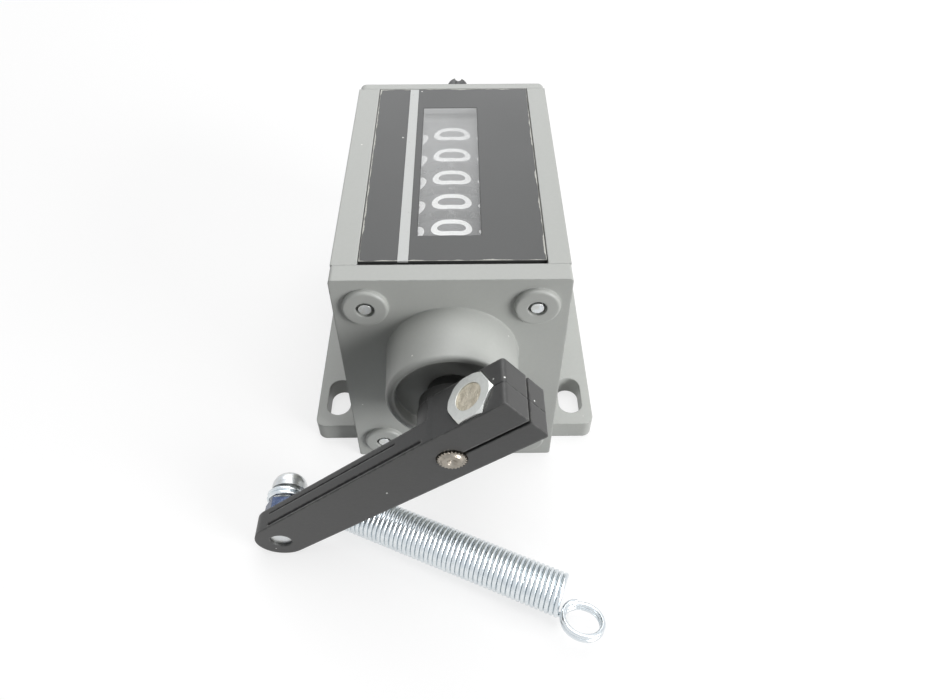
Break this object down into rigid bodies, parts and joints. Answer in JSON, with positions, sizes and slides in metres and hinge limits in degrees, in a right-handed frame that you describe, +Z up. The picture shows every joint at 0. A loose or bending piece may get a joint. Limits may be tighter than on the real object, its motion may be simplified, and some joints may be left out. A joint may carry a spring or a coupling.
{
  "type": "stroke counter",
  "caption": "Stroke counter: moulded box with a row of figure wheels behind a window, slotted feet, a clamp lever on the drive shaft and a pull spring.",
  "frame": {"origin": "on the mounting plane, at the centre of the four foot slots", "axes": "+Y along the counter axis away from the lever, +Z up out of the mounting plane, +X to the side that the figures' tops point to"},
  "size_m": [0.0666, 0.1128, 0.05],
  "materials": {
    "grey_moulding": "satin",
    "black_moulding": "satin",
    "face_black": "satin",
    "stripe_paint": "matte",
    "clear_window": "clear",
    "wheel_plastic": "matte",
    "pinion_plastic": "satin",
    "zinc_plate": "bright zinc plate",
    "blue_zinc": "blue passivated zinc",
    "spring_wire": "zinc plated wire",
    "nickel_shaft": "nickel plated",
    "plain_steel": "plain sheet",
    "bush_brass": "satin"
  },
  "bodies": {
    "housing": {"housing_shell": "grey_moulding", "drive_cover": "grey_moulding", "reset_cover": "grey_moulding", "face_plate": "face_black", "face_stripe": "stripe_paint", "window_lens": "clear_window", "tie_screws": "zinc_plate", "front_frame_plate": "plain_steel", "rear_frame_plate": "plain_steel", "frame_pillars": "plain_steel", "pinion_axle": "plain_steel", "pinion_spacers": "bush_brass", "pinion_clips": "plain_steel", "shaft_bush": "bush_brass", "reset_bush": "bush_brass", "return_spring": "spring_wire", "stop_pin": "plain_steel", "detent_pin": "plain_steel", "detent_spring": "spring_wire"},
    "drive_lever": {"drive_shaft": "nickel_shaft", "drive_carrier": "plain_steel", "shaft_clip": "plain_steel", "pawl_pin": "plain_steel", "drive_pawl_spring": "spring_wire", "lever": "black_moulding", "clamp_screw": "zinc_plate", "clamp_nut": "zinc_plate", "anchor_screw": "zinc_plate", "anchor_nut": "blue_zinc"},
    "feed_pawl": {"drive_pawl": "plain_steel"},
    "holding_pawl": {"detent_pawl": "plain_steel"},
    "hanging_spring": {"pull_spring": "spring_wire"},
    "units_wheel": {"ratchet_wheel": "plain_steel", "number_wheel_1": "wheel_plastic"},
    "wheel_2": {"number_wheel_2": "wheel_plastic"},
    "wheel_3": {"number_wheel_3": "wheel_plastic"},
    "wheel_4": {"number_wheel_4": "wheel_plastic"},
    "wheel_5": {"number_wheel_5": "wheel_plastic"},
    "pinion_1": {"transfer_pinion_1": "pinion_plastic"},
    "pinion_2": {"transfer_pinion_2": "pinion_plastic"},
    "pinion_3": {"transfer_pinion_3": "pinion_plastic"},
    "pinion_4": {"transfer_pinion_4": "pinion_plastic"},
    "reset_set": {"reset_shaft": "plain_steel", "reset_collar": "bush_brass", "reset_knob": "black_moulding", "knob_screw": "zinc_plate"}
  },
  "joints": [
    {"name": "lever_swing", "type": "hinge", "parent": "housing", "child": "drive_lever", "pos_m": [0, -0.0538, 0.032], "axis": [0, 1, 0], "range_deg": [0, 50], "stiffness_Nm_per_rad": 0.12, "springref_deg": -20.05},
    {"name": "feed_pawl_lift", "type": "hinge", "parent": "drive_lever", "child": "feed_pawl", "pos_m": [-0.00694, -0.0241, 0.04027], "axis": [0, -1, 0], "range_deg": [0, 12], "stiffness_Nm_per_rad": 0.0004, "springref_deg": -34.38},
    {"name": "holding_pawl_lift", "type": "hinge", "parent": "housing", "child": "holding_pawl", "pos_m": [-0.0028, -0.0241, 0.02157], "axis": [0, -1, 0], "range_deg": [0, 12], "stiffness_Nm_per_rad": 0.0004, "springref_deg": -34.38},
    {"name": "spring_swing", "type": "hinge", "parent": "drive_lever", "child": "hanging_spring", "pos_m": [-0.03238, -0.0449, 0.0051], "axis": [0, 1, 0], "range_deg": [0, 40]},
    {"name": "units_spin", "type": "hinge", "parent": "housing", "child": "units_wheel", "pos_m": [0, -0.01705, 0.032], "axis": [0, 1, 0], "continuous": true},
    {"name": "wheel_2_spin", "type": "hinge", "parent": "housing", "child": "wheel_2", "pos_m": [0, -0.00935, 0.032], "axis": [0, 1, 0], "continuous": true},
    {"name": "wheel_3_spin", "type": "hinge", "parent": "housing", "child": "wheel_3", "pos_m": [0, -0.00165, 0.032], "axis": [0, 1, 0], "continuous": true},
    {"name": "wheel_4_spin", "type": "hinge", "parent": "housing", "child": "wheel_4", "pos_m": [0, 0.00605, 0.032], "axis": [0, 1, 0], "continuous": true},
    {"name": "wheel_5_spin", "type": "hinge", "parent": "housing", "child": "wheel_5", "pos_m": [0, 0.01375, 0.032], "axis": [0, 1, 0], "continuous": true},
    {"name": "pinion_1_spin", "type": "hinge", "parent": "housing", "child": "pinion_1", "pos_m": [0, -0.00935, 0.01352], "axis": [0, 1, 0], "continuous": true},
    {"name": "pinion_2_spin", "type": "hinge", "parent": "housing", "child": "pinion_2", "pos_m": [0, -0.00165, 0.01352], "axis": [0, 1, 0], "continuous": true},
    {"name": "pinion_3_spin", "type": "hinge", "parent": "housing", "child": "pinion_3", "pos_m": [0, 0.00605, 0.01352], "axis": [0, 1, 0], "continuous": true},
    {"name": "pinion_4_spin", "type": "hinge", "parent": "housing", "child": "pinion_4", "pos_m": [0, 0.01375, 0.01352], "axis": [0, 1, 0], "continuous": true},
    {"name": "reset_turn", "type": "hinge", "parent": "housing", "child": "reset_set", "pos_m": [0, 0.0313, 0.032], "axis": [0, 1, 0], "continuous": true}
  ],
  "couplings": [
    {"joint": "wheel_2_spin", "follows": "units_spin", "ratio": 0.1},
    {"joint": "wheel_3_spin", "follows": "units_spin", "ratio": 0.01},
    {"joint": "wheel_4_spin", "follows": "units_spin", "ratio": 0.001},
    {"joint": "wheel_5_spin", "follows": "units_spin", "ratio": 0.0001},
    {"joint": "pinion_1_spin", "follows": "units_spin", "ratio": -0.25},
    {"joint": "pinion_2_spin", "follows": "units_spin", "ratio": -0.025},
    {"joint": "pinion_3_spin", "follows": "units_spin", "ratio": -0.0025},
    {"joint": "pinion_4_spin", "follows": "units_spin", "ratio": -0.00025}
  ]
}
